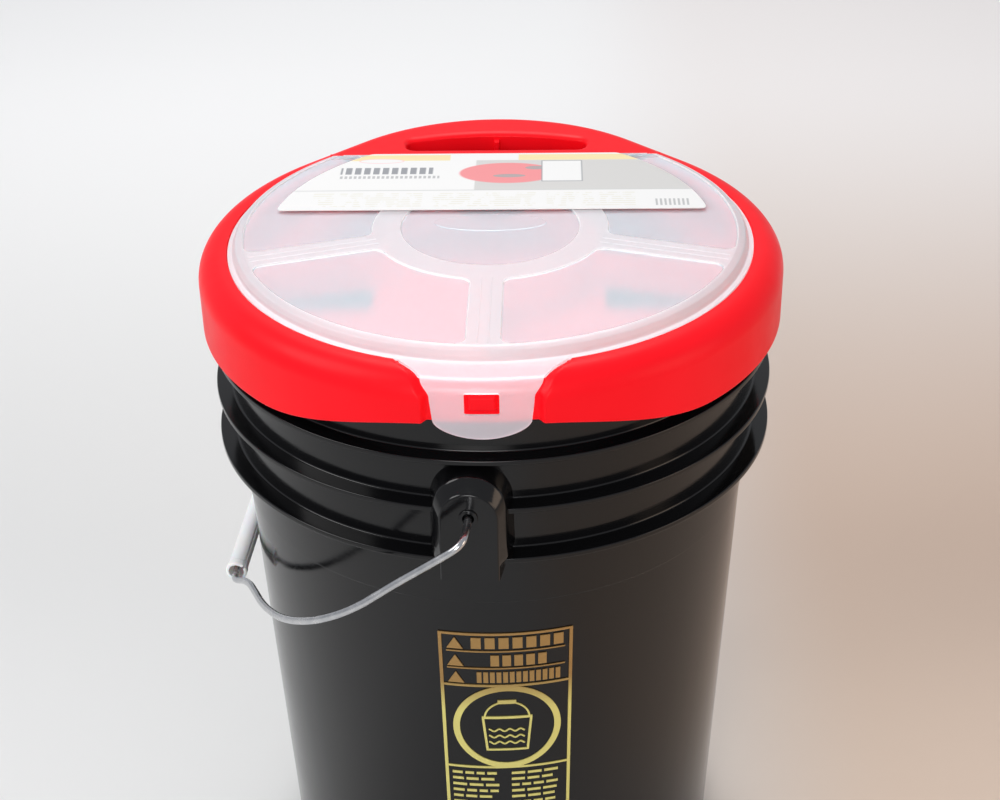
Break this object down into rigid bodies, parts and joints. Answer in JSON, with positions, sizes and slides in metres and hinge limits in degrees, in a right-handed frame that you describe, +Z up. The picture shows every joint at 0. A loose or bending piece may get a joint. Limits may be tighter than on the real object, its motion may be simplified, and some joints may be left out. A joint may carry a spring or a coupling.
{
  "type": "pail with hinged tray seat lid",
  "caption": "Ribbed plastic pail with a wire bail, closed by a seat lid that holds a compartment tray, a carrying handle and a frosted hinged cover with a latch tab.",
  "frame": {"origin": "on the pail's axis at the floor, at the centre of the flat hub under its bottom", "axes": "+Z up along the pail's axis; -Y towards the lid's latch tab; +Y towards the lid's carrying handle; the cover's hinge lies along X"},
  "size_m": [0.3096, 0.3649, 0.3979],
  "materials": {
    "black_plastic": "glossy black polyethylene with fine scuffs",
    "zinc_wire": "zinc-plated steel wire",
    "white_plastic": "satin white plastic",
    "red_plastic": "satin red polypropylene",
    "frosted_plastic": "frosted translucent polypropylene",
    "printed_card": "coated printed card"
  },
  "bodies": {
    "pail": {"bucket_wall": "black_plastic", "bucket_collar": "black_plastic", "bucket_bottom": "black_plastic"},
    "bail": {"bail_wire": "zinc_wire"},
    "grip": {"bail_grip": "white_plastic"},
    "lid": {"seat_rim": "red_plastic", "carry_handle": "red_plastic", "plug_ring": "red_plastic", "tray_pan": "red_plastic", "tray_dividers": "red_plastic"},
    "cover": {"cover": "frosted_plastic", "label_card": "printed_card"},
    "tab": {"latch_tab": "frosted_plastic"}
  },
  "joints": [
    {"name": "bail_swing", "type": "hinge", "parent": "pail", "child": "bail", "pos_m": [0, 0, 0.3188], "axis": [0.048, 0.9988, 0], "range_deg": [0, 257]},
    {"name": "grip_spin", "type": "hinge", "parent": "bail", "child": "grip", "pos_m": [-0.14336, 0.00689, 0.20463], "axis": [0.048, 0.9988, 0], "continuous": true},
    {"name": "lid_lift", "type": "slide", "parent": "pail", "child": "lid", "axis": [0, 0, 1], "range_m": [0, 0.15]},
    {"name": "cover_open", "type": "hinge", "parent": "lid", "child": "cover", "pos_m": [0, 0.1023, 0.3913], "axis": [-1, 0, 0], "range_deg": [0, 110]},
    {"name": "latch_flex", "type": "hinge", "parent": "cover", "child": "tab", "pos_m": [0, -0.1432, 0.391], "axis": [-1, 0, 0], "range_deg": [0, 35], "stiffness_Nm_per_rad": 0.02}
  ]
}
